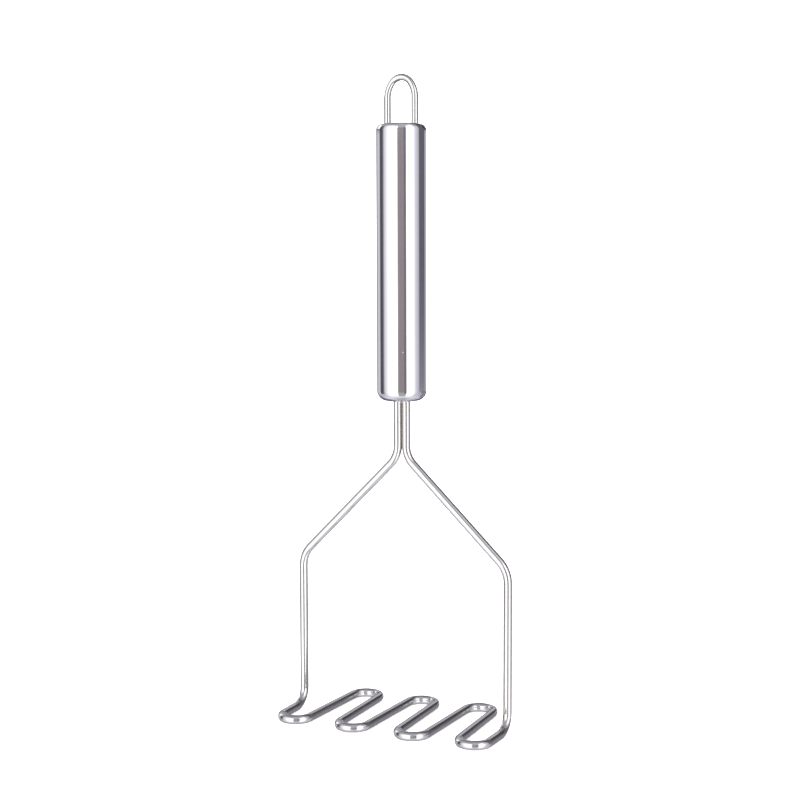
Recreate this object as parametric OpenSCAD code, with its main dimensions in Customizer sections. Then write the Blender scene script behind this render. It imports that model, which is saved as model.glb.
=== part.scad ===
// Wire potato masher, all stainless steel, in millimetres.
// One long wire is bent into a zigzag foot, two legs and two shanks. The shanks
// are welded into a hollow handle, which carries a small hanging loop on top.
// +Z is up, X runs along the width of the foot, and the foot stands on z = 0.
// The origin is at the middle of the foot, on the surface that it stands on.

/* [Foot] */
// Diameter of the masher wire
wire_d = 3.5; // [3:0.1:4]
// Width over both legs, along X
foot_width = 95; // [90:0.5:102]
// Depth of the foot over the wire, along Y
foot_depth = 52; // [44:0.5:60]
// Number of U bends in the foot; the odd number puts both ends at the front
u_bends = 7; // [5, 7, 9]
// Radius of the U bends, to the middle of the wire
u_bend_r = 6; // [5:0.1:6.4]
// Radius of the bend from each leg into the foot
leg_bend_r = 7; // [4:0.1:9]

/* [Legs] */
// Height at which the outlines of leg and diagonal meet
shoulder_z = 65; // [52:0.5:72]
// Radius of the bend at each shoulder
shoulder_bend_r = 12; // [8:0.5:16]
// Height at which the outlines of diagonal and shank meet
neck_z = 108; // [100:0.5:114]
// Radius of the bend at the neck
neck_bend_r = 10.5; // [8:0.5:14]
// Gap between the two shanks
shank_gap = 0.2; // [0.1:0.05:0.6]
// Length of shank inside the handle
shank_inside = 16; // [8:1:30]

/* [Handle] */
// Outside diameter of the handle
handle_d = 20; // [20:0.5:24]
// Length of the handle without its hanging loop
handle_len = 109.5; // [90:0.5:130]
// Height of the handle's lower end
handle_z = 130.5; // [122:0.5:140]
// Thickness of the tube and of both caps
wall = 1; // [0.8:0.1:1.2]
// Height of the lower cap
lower_cap_h = 8; // [6:0.5:12]
// Rounding of the lower cap's edge
lower_edge_r = 4.2; // [3:0.1:5]
// Height of the upper cap
upper_cap_h = 5; // [4:0.5:8]
// Rounding of the upper cap's edge
upper_edge_r = 1.6; // [1.4:0.1:1.7]
// Width of the weld seam between the tube and a cap
seam_w = 1.2; // [0.8:0.1:2]

/* [Hanging loop] */
// Diameter of the loop's wire
loop_wire_d = 2.8; // [2:0.1:2.8]
// Distance between the loop's legs, centre to centre
loop_pitch = 12; // [10.5:0.5:12]
// Height of the loop's top above the handle
loop_rise = 20; // [16:0.5:28]
// Radius of the arc at the loop's top, to the middle of the wire
loop_top_r = 5; // [4:0.1:5]
// Radius of the arc at each side of the loop, to the middle of the wire
loop_side_r = 10; // [9:0.5:14]
// Length of each leg inside the upper cap
loop_inside = 3; // [2:0.5:6]

/* [Hidden] */
$fn = 48;

// Bent and straight wire join at a ball, which is this much thicker all round and
// bridges this gap on the side of the straight.
joint_proud = 0.01;
joint_gap = 0.05;

// The foot: U bends stand in two rows, at the front on -Y and at the back on +Y.
wire_r = wire_d / 2;
leg_x = foot_width / 2 - wire_r;
foot_z = wire_r + joint_proud;
bend_pitch = 2 * leg_x / u_bends;
first_bend_x = bend_pitch / 2 - leg_x;
bend_y = foot_depth / 2 - wire_r - u_bend_r;

// The straight wires cross the X axis one pitch apart, the legs' own among them,
// and lean a little off the Y direction, because the U bends are narrower than that.
bend_distance = sqrt(pow(bend_pitch, 2) + pow(2 * bend_y, 2));
straight_len = sqrt(pow(bend_distance, 2) - pow(2 * u_bend_r, 2));
lean = atan(bend_pitch / (2 * bend_y)) - asin(2 * u_bend_r / bend_distance);

// The frame: from a shank, round the neck, along the diagonal, round the shoulder.
shank_x = (wire_d + shank_gap) / 2;
splay = atan((leg_x - shank_x) / (neck_z - shoulder_z));
neck_top_z = neck_z + neck_bend_r * tan(splay / 2);
leg_top_z = shoulder_z - shoulder_bend_r * tan(splay / 2);
leg_low_z = foot_z + leg_bend_r;
neck_end_x = shank_x + neck_bend_r * (1 - cos(splay));
neck_end_z = neck_top_z - neck_bend_r * sin(splay);
shoulder_end_x = leg_x - shoulder_bend_r * (1 - cos(splay));
diagonal_len = (shoulder_end_x - neck_end_x) / sin(splay);

// The handle: cap, seam, tube, seam and cap, from below.
handle_r = handle_d / 2;
handle_top_z = handle_z + handle_len;
lower_seam_z = handle_z + lower_cap_h;
upper_seam_z = handle_top_z - upper_cap_h - seam_w;
tube_z = lower_seam_z + seam_w;
tube_len = upper_seam_z - tube_z;

// The weld round the shanks fills a slot in the lower cap and stands a little proud.
// Each seam weld is flush outside and stands a little proud inside.
weld_gap = 0.3;
slot_w = wire_d + 2 * weld_gap;
shank_weld_proud = 0.5;
seam_root = 0.2;
// How far a cutting shape runs past the face that it cuts
cut = 1;

// The hanging loop: a leg, a wide side arc and a tight top arc on each side.
loop_r = loop_wire_d / 2;
loop_leg_x = loop_pitch / 2;
side_turn = acos((loop_side_r - loop_leg_x) / (loop_side_r - loop_top_r));
top_arc_z = handle_top_z + loop_rise - loop_r - loop_top_r;
side_arc_z = top_arc_z - (loop_side_r - loop_top_r) * sin(side_turn);
loop_low_z = handle_top_z - wall - loop_inside;
// Angle that the top arc is short of a side arc, where the side arc's ball fills in
top_arc_gap = 0.5;
// Size of the fillet welds at the loop's legs, and their thickness at the thin end
loop_weld_leg = 0.9;
loop_weld_toe = 0.2;

// Round wire bent to part of a circle in the XY plane, from angle 0 round to turn.
module arc_rod(bend_r, rod_d, turn)
    rotate_extrude(angle = turn) translate([bend_r, 0]) circle(d = rod_d);

// The same, with a ball at each end that joins it to the straight wire there.
module bend(bend_r, rod_d, turn) {
    arc_rod(bend_r, rod_d, turn);
    for (end = [0, turn])
        rotate([0, 0, end]) translate([bend_r, 0, 0]) sphere(d = rod_d + 2 * joint_proud);
}

// Bend in the XZ plane, from the +X side round towards +Z.
module upright_bend(bend_r, rod_d, turn)
    rotate([90, 0, 0]) bend(bend_r, rod_d, turn);

// Straight wire along +Z, a hair short at both ends, where a bend's ball fills in.
module straight(len, rod_d)
    translate([0, 0, joint_gap]) cylinder(h = len - 2 * joint_gap, d = rod_d);

// One U bend of the foot, number i from the left: even ones at the front.
module u_bend(i)
    translate([first_bend_x + i * bend_pitch, 0, foot_z])
        mirror([0, i % 2, 0])
            translate([0, -bend_y, 0])
                rotate([0, 0, 180 + lean]) bend(u_bend_r, wire_d, 180 - 2 * lean);

// The straight wire from U bend i to the next one.
module foot_straight(i)
    translate([first_bend_x + (i + 0.5) * bend_pitch, 0, foot_z])
        rotate([90, 0, i % 2 == 0 ? -lean : lean])
            translate([0, 0, -straight_len / 2]) straight(straight_len, wire_d);

// Half of the frame on the +X side, from its shank down to the foot's last U bend.
// Below the leg, the wire turns forward and leans like the foot's other straights.
module frame_side() {
    translate([shank_x, 0, neck_top_z])
        straight(handle_z + shank_inside - neck_top_z, wire_d);
    translate([shank_x + neck_bend_r, 0, neck_top_z])
        rotate([0, 180, 0]) upright_bend(neck_bend_r, wire_d, splay);
    translate([neck_end_x, 0, neck_end_z])
        rotate([0, 180 - splay, 0]) straight(diagonal_len, wire_d);
    translate([leg_x - shoulder_bend_r, 0, leg_top_z])
        upright_bend(shoulder_bend_r, wire_d, splay);
    translate([leg_x, 0, leg_low_z]) straight(leg_top_z - leg_low_z, wire_d);
    translate([leg_x, 0, foot_z]) rotate([0, 0, -lean]) {
        translate([0, -leg_bend_r, leg_bend_r])
            rotate([-90, 0, 90]) bend(leg_bend_r, wire_d, 90);
        translate([0, -leg_bend_r, 0])
            rotate([90, 0, 0]) straight(straight_len / 2 - leg_bend_r, wire_d);
    }
}

module masher_wire()
    color("silver") {
        for (flip = [0, 1]) mirror([flip, 0, 0]) frame_side();
        for (i = [0 : u_bends - 1]) u_bend(i);
        for (i = [0 : u_bends - 2]) foot_straight(i);
    }

// Ring about the handle's axis, between two radii.
module ring(z, h, r_in, r_out)
    translate([0, 0, z]) rotate_extrude() translate([r_in, 0]) square([r_out - r_in, h]);

// Half section of a solid cup that stands on its rounded edge.
module cup_outline(r, h, edge_r) {
    square([r - edge_r, h]);
    translate([0, edge_r]) square([r, h - edge_r]);
    translate([r - edge_r, edge_r]) circle(r = edge_r);
}

// Pressed cap, open at the top.
module cap(h, edge_r)
    rotate_extrude() difference() {
        intersection() {
            cup_outline(handle_r, h, edge_r);
            square([handle_r, h]);
        }
        translate([0, wall]) cup_outline(handle_r - wall, h, edge_r - wall);
    }

module handle_tube() color("lightgray") ring(tube_z, tube_len, handle_r - wall, handle_r);

module lower_seam_weld()
    color("gray") ring(lower_seam_z, seam_w, handle_r - wall - seam_root, handle_r);

module upper_seam_weld()
    color("gray") ring(upper_seam_z, seam_w, handle_r - wall - seam_root, handle_r);

// Slot that both shanks pass through.
module slot_outline() {
    square([2 * shank_x, slot_w], center = true);
    for (x = [-shank_x, shank_x]) translate([x, 0]) circle(d = slot_w);
}

module lower_cap()
    color("lightgray") difference() {
        translate([0, 0, handle_z]) cap(lower_cap_h, lower_edge_r);
        translate([0, 0, handle_z - cut]) linear_extrude(wall + 2 * cut) slot_outline();
    }

module shank_weld()
    color("gray") translate([0, 0, handle_z - shank_weld_proud])
        linear_extrude(wall + shank_weld_proud) difference() {
            slot_outline();
            for (x = [-shank_x, shank_x]) translate([x, 0]) circle(d = wire_d);
        }

module upper_cap()
    color("lightgray") difference() {
        translate([0, 0, handle_top_z]) mirror([0, 0, 1]) cap(upper_cap_h, upper_edge_r);
        for (x = [-loop_leg_x, loop_leg_x])
            translate([x, 0, handle_top_z - wall - cut])
                cylinder(h = wall + 2 * cut, d = loop_wire_d);
    }

module hanging_loop()
    color("silver") {
        for (flip = [0, 1]) mirror([flip, 0, 0]) {
            translate([loop_leg_x, 0, loop_low_z])
                straight(side_arc_z - loop_low_z, loop_wire_d);
            translate([loop_leg_x - loop_side_r, 0, side_arc_z])
                upright_bend(loop_side_r, loop_wire_d, side_turn);
        }
        translate([0, 0, top_arc_z])
            rotate([90, -side_turn - top_arc_gap, 0])
                arc_rod(loop_top_r, loop_wire_d, 180 - 2 * (side_turn + top_arc_gap));
    }

// Fillet welds round the loop's legs, against the inside of the upper cap.
module loop_welds()
    color("gray") for (x = [-loop_leg_x, loop_leg_x])
        translate([x, 0, handle_top_z - wall - loop_weld_leg]) difference() {
            cylinder(h = loop_weld_leg, r1 = loop_r + loop_weld_toe, r2 = loop_r + loop_weld_leg);
            translate([0, 0, -cut]) cylinder(h = loop_weld_leg + 2 * cut, r = loop_r);
        }

masher_wire();
handle_tube();
lower_cap();
upper_cap();
lower_seam_weld();
upper_seam_weld();
shank_weld();
hanging_loop();
loop_welds();
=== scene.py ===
"""The looks of a wire potato masher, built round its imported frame. Lengths are in metres."""

import math

import bmesh
import bpy
from mathutils import Matrix, Vector, noise


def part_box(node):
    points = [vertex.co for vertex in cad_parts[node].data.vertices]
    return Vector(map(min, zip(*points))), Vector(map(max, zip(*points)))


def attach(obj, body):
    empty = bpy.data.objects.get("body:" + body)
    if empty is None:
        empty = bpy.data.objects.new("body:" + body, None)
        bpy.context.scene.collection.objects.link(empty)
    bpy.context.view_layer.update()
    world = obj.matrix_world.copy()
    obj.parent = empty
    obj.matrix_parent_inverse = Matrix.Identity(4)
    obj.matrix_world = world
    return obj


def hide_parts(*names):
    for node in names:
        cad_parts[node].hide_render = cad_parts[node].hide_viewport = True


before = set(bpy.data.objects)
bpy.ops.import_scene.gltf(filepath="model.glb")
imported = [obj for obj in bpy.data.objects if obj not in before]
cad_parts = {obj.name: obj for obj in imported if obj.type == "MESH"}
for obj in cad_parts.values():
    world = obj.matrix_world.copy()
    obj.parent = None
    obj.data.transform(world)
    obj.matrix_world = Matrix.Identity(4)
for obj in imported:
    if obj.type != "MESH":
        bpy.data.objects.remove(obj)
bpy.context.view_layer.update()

MM = 0.001
BODY = "root"
UP = Vector((0, 0, 1))
QUARTER_TURN = math.pi / 2


# ---------------------------------------------------------------- sizes

# The lowest and highest corner of each node, from the frame
wire_low, wire_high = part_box("masher_wire")
tube_low, tube_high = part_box("handle_tube")
lower_cap_low, lower_cap_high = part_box("lower_cap")
upper_cap_low, upper_cap_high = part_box("upper_cap")
lower_seam_low, lower_seam_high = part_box("lower_seam_weld")
upper_seam_low, upper_seam_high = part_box("upper_seam_weld")
shank_weld_low, shank_weld_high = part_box("shank_weld")
loop_low, loop_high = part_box("hanging_loop")
loop_welds_low, loop_welds_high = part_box("loop_welds")

# The masher wire, with the same bends as its node
WIRE_R = 1.75 * MM
JOINT_PROUD = 0.01 * MM
SHANK_X = 1.85 * MM
U_BENDS = 7
U_BEND_R = 6 * MM
LEG_BEND_R = 7 * MM
SHOULDER_Z = 65 * MM
SHOULDER_BEND_R = 12 * MM
NECK_Z = 108 * MM
NECK_BEND_R = 10.5 * MM
FOOT_Z = wire_low.z + WIRE_R + JOINT_PROUD
LEG_X = wire_high.x - WIRE_R - JOINT_PROUD
BEND_Y = 18.25 * MM
BEND_PITCH = 2 * LEG_X / U_BENDS
WIRE_END_ROUND = 0.35 * MM
BEND_FLATTENING = 0.1

# The handle
HANDLE_R = tube_high.x
WALL = 1 * MM
LOWER_EDGE_R = 4.2 * MM
UPPER_EDGE_R = 1.6 * MM
UPPER_EDGE_HEIGHT = 2.4 * MM
SEAM_ROOT = 0.2 * MM

# A small nick in the handle's polish: its angle from the front, height, radius and depth
NICK_ANGLE = math.radians(28.5)
NICK_HEIGHT = 19.8 * MM
NICK_R = 0.28 * MM
NICK_DEPTH = 0.05 * MM

# The shanks' weld bead: how far it spreads past the slot, how thick it is at the shanks,
# how uneven it is, and how wide the lumps of that unevenness are
SHANK_BEAD_TOE = 0.4 * MM
SHANK_BEAD_EDGE = 0.03 * MM
SHANK_BEAD_RIPPLE = 0.09 * MM
SHANK_BEAD_LUMP = 0.7 * MM
# The weld in the slot: how far it stays off the slot's sides, and the step from the bead to it
SLOT_WELD_GAP = 0.01 * MM
SLOT_WELD_STEP = 0.02 * MM
# The loop's weld beads; their ripple is a part of their thickness
LOOP_BEAD_EDGE = 0.04 * MM
LOOP_BEAD_RIPPLE = 0.1
LOOP_BEAD_LUMP = 0.6 * MM

# The hanging loop
LOOP_R = 1.4 * MM
LOOP_LEG_X = 6 * MM
LOOP_TOP_R = 5 * MM
LOOP_SIDE_R = 10 * MM


# ---------------------------------------------------------------- mesh helpers

SHARP_ANGLE = math.radians(35)
ARC_STEP = 0.4 * MM
STRAIGHT_STEP = 2.5 * MM
SAME_POINT = 0.001 * MM
# Steps in the rounding of a wire's end, and in the hollow side of a weld bead
END_STEPS = 4
BEAD_STEPS = 8


def new_object(name, mesh):
    """Puts a mesh in the scene as an object."""
    obj = bpy.data.objects.new(name, mesh)
    bpy.context.scene.collection.objects.link(obj)
    return obj


def smooth(mesh):
    """Smooth shading, with edges that turn by more than SHARP_ANGLE kept sharp."""
    bm = bmesh.new()
    bm.from_mesh(mesh)
    bmesh.ops.recalc_face_normals(bm, faces=bm.faces)
    for face in bm.faces:
        face.smooth = True
    for edge in bm.edges:
        edge.smooth = edge.calc_face_angle(math.pi) < SHARP_ANGLE
    bm.to_mesh(mesh)
    bm.free()


def mesh_object(name, bm):
    """Turns a finished bmesh into an object with smooth shading."""
    mesh = bpy.data.meshes.new(name)
    bm.to_mesh(mesh)
    bm.free()
    smooth(mesh)
    return new_object(name, mesh)


def arc(centre, start, travel, radius, turn):
    """Points on an arc that leaves centre + radius * start in the direction travel."""
    count = max(6, math.ceil(radius * turn / ARC_STEP))
    angles = [turn * k / count for k in range(count + 1)]
    return [centre + radius * (math.cos(a) * start + math.sin(a) * travel) for a in angles]


def fill_straights(points):
    """Adds evenly spaced points along every long straight stretch of a path."""
    filled = [points[0]]
    for a, b in zip(points, points[1:]):
        length = (b - a).length
        if length < SAME_POINT:
            continue
        count = math.ceil(length / STRAIGHT_STEP)
        filled += [a.lerp(b, k / count) for k in range(1, count + 1)]
    return filled


def swept_wire(name, path, radius, segments):
    """Round wire along a path. Its ends are rounded, and its bends slightly flattened.

    The attribute rod holds each point's place on the wire before it was bent.
    """
    steps = [(b - a).normalized() for a, b in zip(path, path[1:])]
    tangents = [(a + b).normalized() for a, b in zip([steps[0]] + steps, steps + [steps[-1]])]
    side = tangents[0].orthogonal().normalized()
    bm = bmesh.new()
    rod = bm.verts.layers.float_vector.new("rod")
    rings = []
    along = 0.0

    def add_ring(centre, r, across, upright, bend=Vector()):
        ring = []
        for k in range(segments):
            a = 2 * math.pi * k / segments
            out = math.cos(a) * across + math.sin(a) * upright
            squeeze = BEND_FLATTENING * radius * bend.dot(out) ** 2 / max(bend.length, 1)
            vert = bm.verts.new(centre + r * (1 - squeeze) * out)
            vert[rod] = Vector((r * math.cos(a), r * math.sin(a), along))
            ring.append(vert)
        rings.append(ring)

    last = len(path) - 1
    for i, (point, tangent) in enumerate(zip(path, tangents)):
        if i:
            along += (point - path[i - 1]).length
            side = tangents[i - 1].rotation_difference(tangent) @ side
        side = (side - side.dot(tangent) * tangent).normalized()
        upright = tangent.cross(side)
        if i in (0, last):
            inward = tangent if i == 0 else -tangent
            angles = [QUARTER_TURN * k / END_STEPS for k in range(END_STEPS + 1)]
            for a in reversed(angles) if i == 0 else angles:
                centre = point + WIRE_END_ROUND * (1 - math.sin(a)) * inward
                add_ring(centre, radius - WIRE_END_ROUND * (1 - math.cos(a)), side, upright)
        else:
            reach = (path[i + 1] - path[i - 1]).length / 2
            add_ring(point, radius, side, upright, (tangents[i + 1] - tangents[i - 1]) / (2 * reach))
    for lower, upper in zip(rings, rings[1:]):
        for k in range(segments):
            n = (k + 1) % segments
            bm.faces.new((lower[k], lower[n], upper[n], upper[k]))
    bm.faces.new(list(reversed(rings[0])))
    bm.faces.new(rings[-1])
    return mesh_object(name, bm)


def lathe(name, profile, segments=192, centres=(0,), ripple=None):
    """Solids of revolution about upright axes at X centres, from one closed profile.

    The profile holds (radius, height) points. A ripple adds to the radius at an angle and height.
    """
    bm = bmesh.new()
    for centre in centres:
        rings = []
        for r, z in profile:
            if r == 0:
                rings.append([bm.verts.new((centre, 0, z))] * segments)
                continue
            ring = []
            for k in range(segments):
                a = 2 * math.pi * k / segments
                reach = r + (ripple(centre, a, r, z) if ripple else 0)
                ring.append(bm.verts.new((centre + reach * math.cos(a), reach * math.sin(a), z)))
            rings.append(ring)
        for lower, upper in zip(rings, rings[1:] + rings[:1]):
            for k in range(segments):
                n = (k + 1) % segments
                corners = dict.fromkeys((lower[k], lower[n], upper[n], upper[k]))
                if len(corners) > 2:
                    bm.faces.new(corners)
    return mesh_object(name, bm)


def round_profile(r, z, across, tall, start, turn, count=24):
    """(radius, height) points on part of an ellipse about (r, z), with angles in degrees."""
    angles = [math.radians(start + turn * k / count) for k in range(count + 1)]
    return [(r + across * math.cos(a), z + tall * math.sin(a)) for a in angles]


def stadium(half_length, radius, ripple=0.0, height=0.0, count=36):
    """(x, y) outline of two half circles joined by straights along X, uneven by the ripple."""
    outline = []
    for sign in (1, -1):
        for k in range(count + 1):
            a = math.radians(-90 + 180 * k / count)
            out = Vector((sign * math.cos(a), sign * math.sin(a), 0))
            place = Vector((sign * half_length, 0, height)) + radius * out
            r = radius + ripple * noise.noise(place / SHANK_BEAD_LUMP)
            outline.append((sign * half_length + r * out.x, r * out.y))
    return outline


def stack(name, layers):
    """Upright solid through (outline, height) layers, whose outlines have as many points each."""
    bm = bmesh.new()
    rings = [[bm.verts.new((x, y, z)) for x, y in outline] for outline, z in layers]
    bm.faces.new(list(reversed(rings[0])))
    bm.faces.new(rings[-1])
    for lower, upper in zip(rings, rings[1:]):
        for k in range(len(lower)):
            n = (k + 1) % len(lower)
            bm.faces.new((lower[k], lower[n], upper[n], upper[k]))
    return mesh_object(name, bm)


def prism(name, outline, low, high):
    """Upright solid with the same outline from its low to its high end."""
    return stack(name, [(outline, low), (outline, high)])


def circle(x, radius, count=48):
    """(x, y) outline of a circle whose centre is on the X axis."""
    angles = [2 * math.pi * k / count for k in range(count)]
    return [(x + radius * math.cos(a), radius * math.sin(a)) for a in angles]


def cut_away(obj, *cutters):
    """Subtracts the cutters from a piece, and removes them."""
    for cutter in cutters:
        modifier = obj.modifiers.new("cut", "BOOLEAN")
        modifier.operation = "DIFFERENCE"
        modifier.solver = "EXACT"
        modifier.object = cutter
    depsgraph = bpy.context.evaluated_depsgraph_get()
    mesh = bpy.data.meshes.new_from_object(obj.evaluated_get(depsgraph))
    obj.modifiers.clear()
    obj.data = mesh
    for cutter in cutters:
        bpy.data.objects.remove(cutter)
    smooth(mesh)


# ---------------------------------------------------------------- the wires' routes


def foot_lean():
    """Angle between the foot's straights and the Y direction."""
    distance = math.hypot(BEND_PITCH, 2 * BEND_Y)
    return math.atan(BEND_PITCH / (2 * BEND_Y)) - math.asin(2 * U_BEND_R / distance)


def frame_side_route(sign):
    """From the top of one shank, down the frame, to the end of the bend under its leg."""
    out = Vector((sign, 0, 0))
    splay = math.atan((LEG_X - SHANK_X) / (NECK_Z - SHOULDER_Z))
    neck_top = NECK_Z + NECK_BEND_R * math.tan(splay / 2)
    neck_centre = Vector((sign * (SHANK_X + NECK_BEND_R), 0, neck_top))
    leg_top = SHOULDER_Z - SHOULDER_BEND_R * math.tan(splay / 2)
    shoulder_centre = Vector((sign * (LEG_X - SHOULDER_BEND_R), 0, leg_top))
    lean = foot_lean()
    forward = Vector((-sign * math.sin(lean), -math.cos(lean), 0))
    leg_low = Vector((sign * LEG_X, 0, FOOT_Z + LEG_BEND_R))
    return (
        [Vector((sign * SHANK_X, 0, wire_high.z))]
        + arc(neck_centre, -out, -UP, NECK_BEND_R, splay)
        + list(reversed(arc(shoulder_centre, out, UP, SHOULDER_BEND_R, splay)))
        + arc(leg_low + LEG_BEND_R * forward, -forward, -UP, LEG_BEND_R, QUARTER_TURN)
    )


def foot_route():
    """Round the U bends from left to right, the first of them at the front."""
    lean = foot_lean()
    points = []
    for i in range(U_BENDS):
        side = -1 if i % 2 == 0 else 1
        centre = Vector((BEND_PITCH * (i + 0.5) - LEG_X, side * BEND_Y, FOOT_Z))
        start = Vector((-math.cos(lean), side * math.sin(lean), 0))
        travel = Vector((math.sin(lean), side * math.cos(lean), 0))
        points += arc(centre, start, travel, U_BEND_R, math.pi - 2 * lean)
    return points


def masher_route():
    """Down the left side of the frame, through the foot, and up the right side."""
    left = frame_side_route(-1)
    right = frame_side_route(1)
    return fill_straights(left + foot_route() + list(reversed(right)))


def loop_route():
    """Up one leg of the hanging loop, over its top and down the other."""
    turn = math.acos((LOOP_SIDE_R - LOOP_LEG_X) / (LOOP_SIDE_R - LOOP_TOP_R))
    top_centre = Vector((0, 0, loop_high.z - LOOP_R - LOOP_TOP_R))
    side_z = top_centre.z - (LOOP_SIDE_R - LOOP_TOP_R) * math.sin(turn)
    out = Vector((1, 0, 0))
    side_centre = Vector((LOOP_LEG_X - LOOP_SIDE_R, 0, side_z))
    start = math.cos(turn) * out + math.sin(turn) * UP
    travel = math.cos(turn) * UP - math.sin(turn) * out
    right = (
        [Vector((LOOP_LEG_X, 0, loop_low.z))]
        + arc(side_centre, out, UP, LOOP_SIDE_R, turn)
        + arc(top_centre, start, travel, LOOP_TOP_R, QUARTER_TURN - turn)
    )
    left = [Vector((-p.x, p.y, p.z)) for p in reversed(right)]
    return fill_straights(right + left)


# ---------------------------------------------------------------- materials


class Nodes:
    """A short way to add nodes to a tree and link them."""

    def __init__(self, tree):
        self.tree = tree
        tree.nodes.clear()

    def add(self, kind, inputs=None, **settings):
        node = self.tree.nodes.new(kind)
        for key, value in settings.items():
            setattr(node, key, value)
        for key, value in (inputs or {}).items():
            self.put(node.inputs[key], value)
        return node

    def put(self, socket, value):
        if isinstance(value, bpy.types.NodeSocket):
            self.tree.links.new(value, socket)
        else:
            socket.default_value = value

    def math(self, operation, a, b=0.0):
        node = self.add("ShaderNodeMath", operation=operation)
        for socket, value in zip(node.inputs, (a, b)):
            self.put(socket, value)
        return node.outputs[0]

    def fit(self, value, low, high, to_low, to_high, kind="LINEAR"):
        """Maps a value from one range to another, and clamps it there."""
        node = self.add("ShaderNodeMapRange", interpolation_type=kind)
        for key, number in (("Value", value), ("From Min", low), ("From Max", high)):
            self.put(node.inputs[key], number)
        for key, number in (("To Min", to_low), ("To Max", to_high)):
            self.put(node.inputs[key], number)
        return node.outputs[0]

    def blend(self, factor, a, b):
        """Mixes two colours; a factor of 0 gives the first."""
        node = self.add("ShaderNodeMix", data_type="RGBA")
        for socket, value in zip((node.inputs[0], node.inputs[6], node.inputs[7]), (factor, a, b)):
            self.put(socket, value)
        return node.outputs[2]


def start_material(name):
    """A new material, with a short way to add nodes to it."""
    material = bpy.data.materials.new(name)
    material.use_nodes = True
    return material, Nodes(material.node_tree)


def stretched_noise(n, where, across, along, detail=2.0):
    """Noise of about one lump per unit, with lumps this many metres wide and long (along Z)."""
    scale = (1 / across, 1 / across, 1 / along)
    place = n.add("ShaderNodeVectorMath", {0: where, 1: scale}, operation="MULTIPLY").outputs[0]
    inputs = {"Vector": place, "Scale": 1.0, "Detail": detail, "Roughness": 0.55}
    return n.add("ShaderNodeTexNoise", inputs).outputs["Fac"]


def bumped(n, bumps):
    """Stacks bumps, each a pattern and its height in metres, with the last of them on top."""
    normal = None
    for pattern, height in bumps:
        inputs = {"Height": pattern, "Strength": 1.0, "Distance": height}
        if normal:
            inputs["Normal"] = normal
        normal = n.add("ShaderNodeBump", inputs).outputs[0]
    return normal


def finish_metal(n, colour, roughness, normal):
    """Ends a material's nodes in a metal shader."""
    inputs = {"Metallic": 1.0, "Base Color": colour, "Roughness": roughness, "Normal": normal}
    shader = n.add("ShaderNodeBsdfPrincipled", inputs)
    n.add("ShaderNodeOutputMaterial", {"Surface": shader.outputs[0]})


def wire_material(name, bright, dull):
    """Bright drawn wire: fine lines along the rod, slow waves, and duller and brighter patches."""
    material, n = start_material(name)
    rod = n.add("ShaderNodeAttribute", attribute_name="rod").outputs["Vector"]
    waves = stretched_noise(n, rod, 2.6 * MM, 9 * MM, 1.0)
    patches = stretched_noise(n, rod, 5 * MM, 16 * MM, 3.0)
    lines = stretched_noise(n, rod, 0.12 * MM, 14 * MM, 3.0)
    scratches = stretched_noise(n, rod, 0.05 * MM, 2.5 * MM, 1.0)
    colour = n.blend(n.fit(patches, 0.35, 0.65, 0.0, 1.0), dull, bright)
    roughness = n.math("ADD", n.fit(patches, 0.3, 0.7, 0.14, 0.1), n.fit(lines, 0.3, 0.75, 0.0, 0.05))
    roughness = n.math("ADD", roughness, n.fit(scratches, 0.66, 0.74, 0.0, 0.12))
    normal = bumped(n, [(waves, 0.012 * MM), (lines, 0.0006 * MM), (scratches, 0.0005 * MM)])
    finish_metal(n, colour, roughness, normal)
    return material


def polished_material(name, lines_across, lines_along, nick=None):
    """Mirror polish on the handle: faint polishing lines, slow waves, hairline scratches, smears."""
    material, n = start_material(name)
    where = n.add("ShaderNodeTexCoord").outputs["Object"]
    waves = stretched_noise(n, where, 7 * MM, 22 * MM, 1.0)
    lines = stretched_noise(n, where, lines_across, lines_along, 3.0)
    smears = stretched_noise(n, where, 9 * MM, 14 * MM, 4.0)
    tilt = n.add("ShaderNodeVectorRotate", {"Vector": where, "Angle": 0.35}, rotation_type="Y_AXIS")
    scratches = stretched_noise(n, tilt.outputs[0], 0.07 * MM, 7 * MM, 1.0)
    colour = n.blend(n.fit(lines, 0.35, 0.65, 0.0, 1.0), (0.645, 0.645, 0.65, 1), (0.672, 0.67, 0.672, 1))
    roughness = n.math("ADD", n.fit(smears, 0.4, 0.7, 0.035, 0.075), n.fit(lines, 0.3, 0.75, 0.0, 0.03))
    roughness = n.math("ADD", roughness, n.fit(scratches, 0.68, 0.76, 0.0, 0.1))
    bumps = [(waves, 0.02 * MM), (lines, 0.0008 * MM), (scratches, 0.0006 * MM)]
    if nick:
        apart = n.add("ShaderNodeVectorMath", {0: where, 1: nick}, operation="DISTANCE").outputs["Value"]
        bumps.append((n.fit(apart, 0.0, NICK_R, 0.0, 1.0, "SMOOTHSTEP"), NICK_DEPTH))
    finish_metal(n, colour, roughness, bumped(n, bumps))
    return material


def weld_material():
    """Lightly polished weld: uneven and rougher, with a little straw-coloured heat tint."""
    material, n = start_material("weld_steel")
    where = n.add("ShaderNodeTexCoord").outputs["Object"]
    lumps = stretched_noise(n, where, 0.5 * MM, 0.4 * MM, 3.0)
    grain = stretched_noise(n, where, 0.09 * MM, 0.09 * MM, 2.0)
    tint = stretched_noise(n, where, 1.6 * MM, 0.9 * MM, 2.0)
    colour = n.blend(n.fit(tint, 0.42, 0.62, 0.0, 1.0), (0.56, 0.55, 0.545, 1), (0.53, 0.47, 0.39, 1))
    roughness = n.math("ADD", n.fit(lumps, 0.3, 0.7, 0.18, 0.3), n.fit(grain, 0.3, 0.7, 0.0, 0.08))
    finish_metal(n, colour, roughness, bumped(n, [(lumps, 0.05 * MM), (grain, 0.004 * MM)]))
    return material


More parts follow.
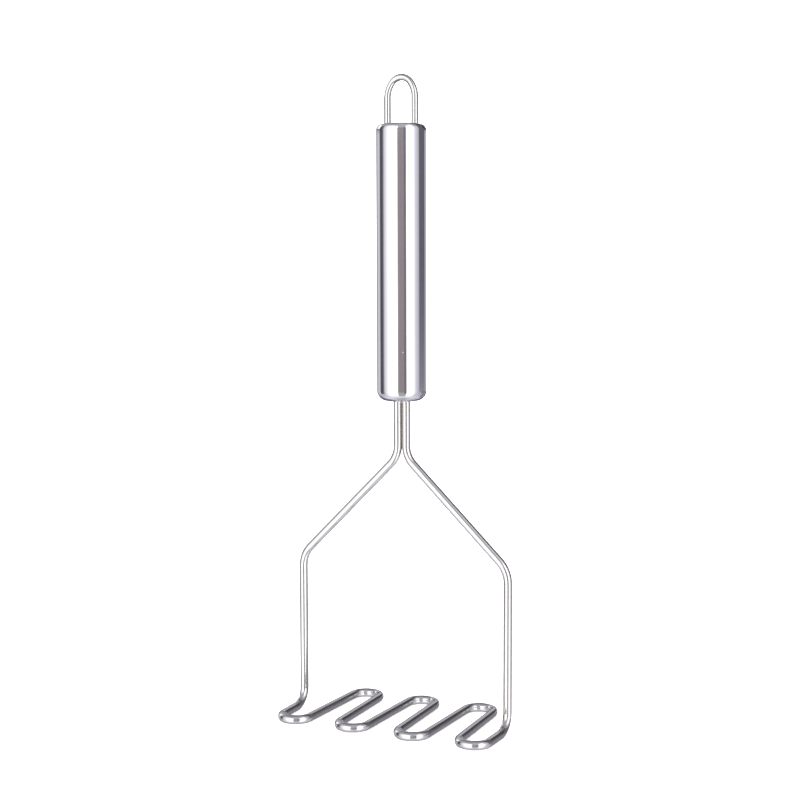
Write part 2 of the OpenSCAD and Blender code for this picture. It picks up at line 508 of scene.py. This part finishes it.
NICK_PLACE = Vector((
    HANDLE_R * math.sin(NICK_ANGLE),
    -HANDLE_R * math.cos(NICK_ANGLE),
    lower_cap_low.z + NICK_HEIGHT,
))
# The masher wire and the loop: name, colour where bright and colour where dull
wire_steel = wire_material("wire_steel", (0.628, 0.62, 0.606, 1), (0.588, 0.58, 0.566, 1))
loop_steel = wire_material("loop_steel", (0.56, 0.56, 0.55, 1), (0.52, 0.52, 0.51, 1))
# Polishing lines run up the handle, and round the seams
handle_steel = polished_material("handle_steel", 0.5 * MM, 45 * MM, NICK_PLACE)
seam_steel = polished_material("seam_steel", 6 * MM, 0.25 * MM)
weld_steel = weld_material()


# ---------------------------------------------------------------- pieces


def finish_piece(obj, nodes, material):
    """Hides the frame nodes that a finished piece stands in for, and says what it rides on and what it is
    made of.
    """
    obj.data.materials.clear()
    obj.data.materials.append(material)
    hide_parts(*nodes)
    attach(obj, BODY)


def cup_profile(edge_r, edge_height, height, top_z, flip):
    """Closed half section of a cap; flip is -1 where its edge points down."""
    inner = HANDLE_R - WALL
    outer_edge = round_profile(HANDLE_R - edge_r, edge_height, edge_r, edge_height, -90, 90)
    inner_edge = round_profile(inner - edge_r + WALL, edge_r, edge_r - WALL, edge_r - WALL, 0, -90)
    outline = [(0, 0)] + outer_edge + [(HANDLE_R, height), (inner, height)] + inner_edge + [(0, WALL)]
    return [(r, top_z + flip * z) for r, z in outline]


def build_wire():
    """The foot, the legs, the diagonals and the shanks, in one length of wire."""
    wire = swept_wire("masher_wire_bent", masher_route(), WIRE_R, segments=40)
    finish_piece(wire, ["masher_wire"], wire_steel)


def ring_profile(inner, low, high):
    """Closed half section of a ring that is flush with the handle outside."""
    return [(HANDLE_R, low), (HANDLE_R, high), (inner, high), (inner, low)]


def build_tube():
    """The handle between its two seams."""
    profile = ring_profile(HANDLE_R - WALL, tube_low.z, tube_high.z)
    tube = lathe("handle_tube_polished", profile)
    finish_piece(tube, ["handle_tube"], handle_steel)


def build_lower_cap():
    """A rounded cap with a slot for the shanks and their weld."""
    height = lower_cap_high.z - lower_cap_low.z
    profile = cup_profile(LOWER_EDGE_R, LOWER_EDGE_R, height, lower_cap_low.z, 1)
    cap = lathe("lower_cap_pressed", profile)
    slot_r = shank_weld_high.y
    outline = stadium(shank_weld_high.x - slot_r, slot_r)
    cut_away(cap, prism("slot", outline, lower_cap_low.z - WALL, lower_cap_low.z + 2 * WALL))
    finish_piece(cap, ["lower_cap"], handle_steel)


def build_upper_cap():
    """A flatter cap with two holes for the loop's legs."""
    height = upper_cap_high.z - upper_cap_low.z
    profile = cup_profile(UPPER_EDGE_R, UPPER_EDGE_HEIGHT, height, upper_cap_high.z, -1)
    cap = lathe("upper_cap_pressed", profile)
    low, high = upper_cap_high.z - 2 * WALL, upper_cap_high.z + WALL
    holes = [prism("hole", circle(sign * LOOP_LEG_X, LOOP_R), low, high) for sign in (-1, 1)]
    cut_away(cap, *holes)
    finish_piece(cap, ["upper_cap"], handle_steel)


def build_seams():
    """Two rings of weld, ground flush with the handle."""
    for node, low, high in (
        ("lower_seam_weld", lower_seam_low.z, lower_seam_high.z),
        ("upper_seam_weld", upper_seam_low.z, upper_seam_high.z),
    ):
        seam = lathe(node + "_ground", ring_profile(HANDLE_R - WALL - SEAM_ROOT, low, high))
        finish_piece(seam, [node], seam_steel)


def build_loop():
    """The hanging loop, whose legs end inside the upper cap."""
    loop = swept_wire("hanging_loop_bent", loop_route(), LOOP_R, segments=36)
    finish_piece(loop, ["hanging_loop"], loop_steel)


def build_shank_weld():
    """A hollow, slightly uneven bead round both shanks, where they enter the lower cap."""
    cap_z = lower_cap_low.z
    slot_r = shank_weld_high.y
    toe_r = slot_r + SHANK_BEAD_TOE
    spread = toe_r - WIRE_R - SHANK_BEAD_EDGE
    drop = cap_z - shank_weld_low.z
    layers = []
    for k in range(BEAD_STEPS + 1):
        a = QUARTER_TURN * k / BEAD_STEPS
        layers.append((toe_r - spread * math.cos(a), cap_z - drop * (1 - math.sin(a))))
    plug_r = slot_r - SLOT_WELD_GAP
    layers += [(plug_r, cap_z + SLOT_WELD_STEP), (plug_r, shank_weld_high.z)]
    outlines = [
        (stadium(SHANK_X, r, SHANK_BEAD_RIPPLE if z <= cap_z else 0.0, z), z)
        for r, z in layers
    ]
    bead = stack("shank_weld_bead", outlines)
    low, high = shank_weld_low.z - WALL, shank_weld_high.z + WALL
    shanks = [prism("shank", circle(sign * SHANK_X, WIRE_R), low, high) for sign in (-1, 1)]
    cut_away(bead, *shanks)
    finish_piece(bead, ["shank_weld"], weld_steel)


def build_loop_welds():
    """A hollow, slightly uneven bead round each leg of the loop, inside the upper cap."""
    reach = loop_welds_high.x - LOOP_LEG_X
    spread = reach - LOOP_R - LOOP_BEAD_EDGE
    low, high = loop_welds_low.z, loop_welds_high.z

    def ripple(centre, a, r, z):
        place = Vector((centre + r * math.cos(a), r * math.sin(a), z))
        return LOOP_BEAD_RIPPLE * (r - LOOP_R) * noise.noise(place / LOOP_BEAD_LUMP)

    profile = []
    for k in range(BEAD_STEPS + 1):
        a = QUARTER_TURN * k / BEAD_STEPS
        profile.append((reach - spread * math.cos(a), low + (high - low) * math.sin(a)))
    profile += [(LOOP_R, high), (LOOP_R, low)]
    beads = lathe("loop_weld_beads", profile, 64, (-LOOP_LEG_X, LOOP_LEG_X), ripple)
    finish_piece(beads, ["loop_welds"], weld_steel)


build_wire()
build_tube()
build_lower_cap()
build_upper_cap()
build_seams()
build_shank_weld()
build_loop()
build_loop_welds()


# ---------------------------------------------------------------- camera

# The camera's place round the masher, and its distance from the target
AZIMUTH = math.radians(25.54)
ELEVATION = math.radians(4.37)
ROLL = math.radians(-0.16)
DISTANCE = 0.5773
TARGET = Vector((0, 0, 0.12776))
# How far the camera then moves to its own right and up
FRAMING = Vector((-0.00075, 0.0030, 0))
CLIP_START = 0.01
# These two are in millimetres, as Blender has them
FOCAL_LENGTH = 64.684
SENSOR = 36


def build_camera():
    """Looks at the masher from the front right, from a little above its middle."""
    back = Vector((
        math.sin(AZIMUTH) * math.cos(ELEVATION),
        -math.cos(AZIMUTH) * math.cos(ELEVATION),
        math.sin(ELEVATION),
    ))
    right = Vector((math.cos(AZIMUTH), math.sin(AZIMUTH), 0))
    axes = Matrix((right, back.cross(right), back)).transposed() @ Matrix.Rotation(ROLL, 3, "Z")
    place = TARGET + DISTANCE * back + axes @ FRAMING
    camera = bpy.data.objects.new("camera", bpy.data.cameras.new("camera"))
    camera.data.sensor_width = SENSOR
    camera.data.lens = FOCAL_LENGTH
    camera.data.clip_start = CLIP_START
    camera.matrix_world = Matrix.Translation(place) @ axes.to_4x4()
    bpy.context.scene.collection.objects.link(camera)
    bpy.context.scene.camera = camera
    bpy.context.scene.view_settings.view_transform = "Standard"


# ---------------------------------------------------------------- studio

# The studio that the steel mirrors. Angles are in degrees from the camera round to its right,
# heights in degrees above the horizon, and a tone of 1 looks white in polished steel.
COOL = (0.97, 0.95, 1.08)
LAVENDER = (1.0, 0.96, 1.2)
PLAIN = (1.0, 1.0, 1.0)
WARM = (1.07, 0.92, 0.99)
GREEN = (0.98, 1.0, 0.98)
GREY = (1.01, 0.97, 0.98)
# Strength of the studio in mirrored rays, and of the plain white in all other rays
STUDIO_STRENGTH = 1.5
PLAIN_STRENGTH = 2.8
FLOOR_R = 3
FLOOR_COLOUR = (0.9, 0.9, 0.9, 1)
# Height and tone of the room behind the panels, from the floor to the ceiling
ROOM = (
    (-90, 0.38), (-80, 0.50), (-66, 0.74), (-50, 0.70), (-38, 0.55), (-25, 0.46), (-8, 0.42), (12, 0.44),
    (30, 0.42), (50, 0.36), (70, 0.30), (90, 0.24),
)
# Name, tone, tint, angles between which it fades in and out, and heights likewise.
# A panel covers those before it.
PANELS = (
    ("dark ceiling behind", 0.10, COOL, (120, 145, 215, 240), (38, 48, 70, 82)),
    ("dark floor behind", 0.13, COOL, (138, 152, 212, 236), (-64, -52, -19, -13)),
    ("dim wall behind left", 0.27, COOL, (-181, -180, -152, -138), (-30, -15, 10, 20)),
    ("light wall at left", 0.56, COOL, (-147, -133, -123, -112), (-28, -15, 16, 32)),
    ("dark wall behind right", 0.13, COOL, (98, 112, 176, 188), (-19, -16, -6.6, -5.4)),
    ("high wall behind", 0.05, COOL, (86, 98, 259, 274), (6.2, 7.4, 12, 18)),
    ("window at left", 1.1, PLAIN, (-148, -137, -121, -112), (7, 13, 30, 40)),
    ("left curtain", 0.075, LAVENDER, (-120, -111, -94, -84), (-24, -18, 20, 48)),
    ("light wall at right", 0.72, COOL, (20, 30, 60, 94), (-45, -25, 22, 42)),
    ("right curtain", 0.11, LAVENDER, (83, 93, 130, 137), (-13, 2, 42, 62)),
    ("high curtain at right", 0.07, WARM, (98, 110, 148, 160), (31, 40, 58, 70)),
    ("low wall at right", 0.235, COOL, (107, 119, 146, 160), (-44, -33, -12, -2)),
    ("dark board", 0.03, WARM, (118, 128, 146, 154), (6, 15, 28, 40)),
    ("left softbox", 1.6, PLAIN, (-104, -28, -19, -13), (-64, -30, 24, 52)),
    ("right softbox", 1.7, PLAIN, (18, 26, 42, 70), (-62, -34, 36, 66)),
    ("gap at the camera", 0.25, WARM, (-23, -14, 16, 25), (-14, -10.5, 6, 9)),
    ("gap over the camera", 0.26, GREY, (-22, -14, 16, 24), (5.5, 8, 10, 18)),
    ("top of the gap", 0.42, COOL, (-50, -20, 24, 54), (22, 46, 72, 84)),
    ("gap under the camera", 0.38, GREEN, (-22, -15, 16, 24), (-58, -46, -13, -9.5)),
    ("edge of the gap", 0.16, COOL, (9, 14, 18, 25), (-34, -18, 14, 28)),
    ("floor behind right", 0.46, COOL, (100, 125, 160, 180), (-75, -62, -50, -42)),
)


def tinted(tone, tint):
    """A colour from a tone and a tint."""
    return tuple(tone * t for t in tint) + (1,)


def build_world():
    """Shiny surfaces mirror the room and its panels; everything else sees plain white."""
    world = bpy.data.worlds.new("studio")
    bpy.context.scene.world = world
    world.use_nodes = True
    n = Nodes(world.node_tree)
    where = n.add("ShaderNodeTexCoord").outputs["Generated"]
    turned = n.add("ShaderNodeVectorRotate", {"Vector": where, "Angle": -AZIMUTH}, rotation_type="Z_AXIS")
    xyz = n.add("ShaderNodeSeparateXYZ", {"Vector": turned.outputs[0]}).outputs
    angle = n.math("DEGREES", n.math("ARCTAN2", xyz[0], n.math("MULTIPLY", xyz[1], -1.0)))
    height = n.math("DEGREES", n.math("ARCSINE", xyz[2]))

    def fade(value, low, high):
        return n.fit(value, low, high, 0.0, 1.0, "SMOOTHSTEP")

    def between(value, edges):
        rise = fade(value, edges[0], edges[1])
        return n.math("MULTIPLY", rise, fade(value, edges[3], edges[2]))

    around = n.math("ADD", angle, n.math("MULTIPLY", n.math("LESS_THAN", angle, 0.0), 360.0))

    room = n.add("ShaderNodeValToRGB", {"Fac": n.fit(height, -90, 90, 0.0, 1.0)})
    elements = room.color_ramp.elements
    while len(elements) < len(ROOM):
        elements.new(0.5)
    for element, (level, tone) in zip(elements, ROOM):
        element.position = (level + 90) / 180
        element.color = tinted(tone, COOL)
    colour = room.outputs[0]
    for _, tone, tint, angles, heights in PANELS:
        across = between(around if angles[3] > 180 else angle, angles)
        mask = n.math("MULTIPLY", across, between(height, heights))
        colour = n.blend(mask, colour, tinted(tone, tint))
    studio = n.add("ShaderNodeBackground", {"Color": colour, "Strength": STUDIO_STRENGTH})
    plain = n.add("ShaderNodeBackground", {"Color": tinted(1, PLAIN), "Strength": PLAIN_STRENGTH})
    mirrored = n.add("ShaderNodeLightPath").outputs["Is Glossy Ray"]
    mix = n.add("ShaderNodeMixShader", {0: mirrored, 1: plain.outputs[0], 2: studio.outputs[0]})
    n.add("ShaderNodeOutputWorld", {"Surface": mix.outputs[0]})


def build_floor():
    """A plain pale floor, which the steel doesn't mirror."""
    bm = bmesh.new()
    bmesh.ops.create_circle(bm, cap_ends=True, segments=96, radius=FLOOR_R)
    floor = mesh_object("floor", bm)
    floor.visible_glossy = False
    material, n = start_material("floor")
    paint = n.add("ShaderNodeBsdfDiffuse", {"Color": FLOOR_COLOUR})
    n.add("ShaderNodeOutputMaterial", {"Surface": paint.outputs[0]})
    floor.data.materials.append(material)


build_camera()
build_world()
build_floor()
